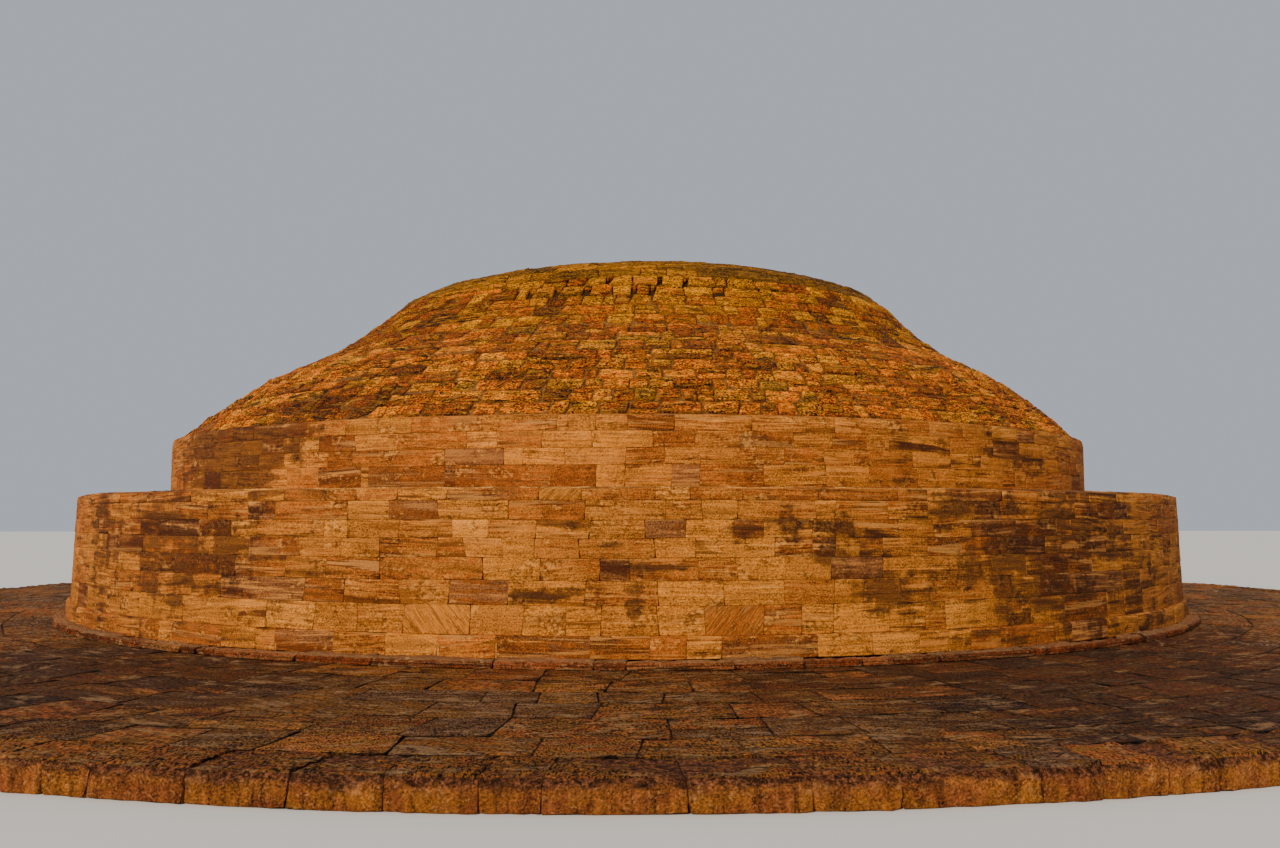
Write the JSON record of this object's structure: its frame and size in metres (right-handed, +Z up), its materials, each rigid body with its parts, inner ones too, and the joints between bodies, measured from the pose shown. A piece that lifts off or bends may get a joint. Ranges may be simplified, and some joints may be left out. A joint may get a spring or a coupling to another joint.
{
  "type": "stupa",
  "caption": "Round solid stupa of coursed stone: low kerbed terrace, two stepped drums and a flattened rubble dome with a slab rim.",
  "frame": {"origin": "centre of the terrace's underside, at ground level", "axes": "+Z up along the axis of the drums and the terrace; -Y is the front"},
  "size_m": [22.46, 22.46, 4.752],
  "materials": {
    "kerb_stone": "worn, earthy, dark reddish top",
    "terrace_flag": "worn flagstones, dark with lichen",
    "footing_stone": "rough reddish strip",
    "drum_ashlar": "hewn blocks, streaked bedding, dark stains",
    "ledge_stone": "hewn blocks with worn upper edges",
    "core_fill": "rubble and earth fill, unseen",
    "dome_rubble": "rough stones in wide earthy joints",
    "rim_slab": "flat slabs, dark with lichen"
  },
  "bodies": {
    "root": {"terrace_bed": "terrace_flag", "terrace_kerb_01": "kerb_stone", "terrace_kerb_02": "kerb_stone", "terrace_kerb_03": "kerb_stone", "terrace_kerb_04": "kerb_stone", "terrace_kerb_05": "kerb_stone", "terrace_kerb_06": "kerb_stone", "terrace_kerb_07": "kerb_stone", "terrace_kerb_08": "kerb_stone", "terrace_kerb_09": "kerb_stone", "terrace_kerb_10": "kerb_stone", "terrace_kerb_11": "kerb_stone", "terrace_kerb_12": "kerb_stone", "lower_drum_wall_01": "drum_ashlar", "lower_drum_wall_02": "drum_ashlar", "lower_drum_wall_03": "drum_ashlar", "lower_drum_wall_04": "drum_ashlar", "lower_drum_wall_05": "drum_ashlar", "lower_drum_wall_06": "drum_ashlar", "lower_drum_wall_07": "drum_ashlar", "lower_drum_wall_08": "drum_ashlar", "upper_drum_wall_01": "drum_ashlar", "upper_drum_wall_02": "drum_ashlar", "upper_drum_wall_03": "drum_ashlar", "upper_drum_wall_04": "drum_ashlar", "upper_drum_wall_05": "drum_ashlar", "upper_drum_wall_06": "drum_ashlar", "upper_drum_wall_07": "drum_ashlar", "upper_drum_wall_08": "drum_ashlar", "drum_footing": "footing_stone", "drum_base_course": "drum_ashlar", "lower_drum_core": "core_fill", "lower_drum_ledge": "ledge_stone", "upper_drum_core": "core_fill", "upper_drum_ledge": "ledge_stone", "dome_band_1": "dome_rubble", "dome_band_2": "dome_rubble", "dome_band_3": "dome_rubble", "dome_band_4": "dome_rubble", "dome_band_5": "dome_rubble", "dome_rim": "rim_slab", "dome_crown": "rim_slab"}
  },
  "joints": []
}
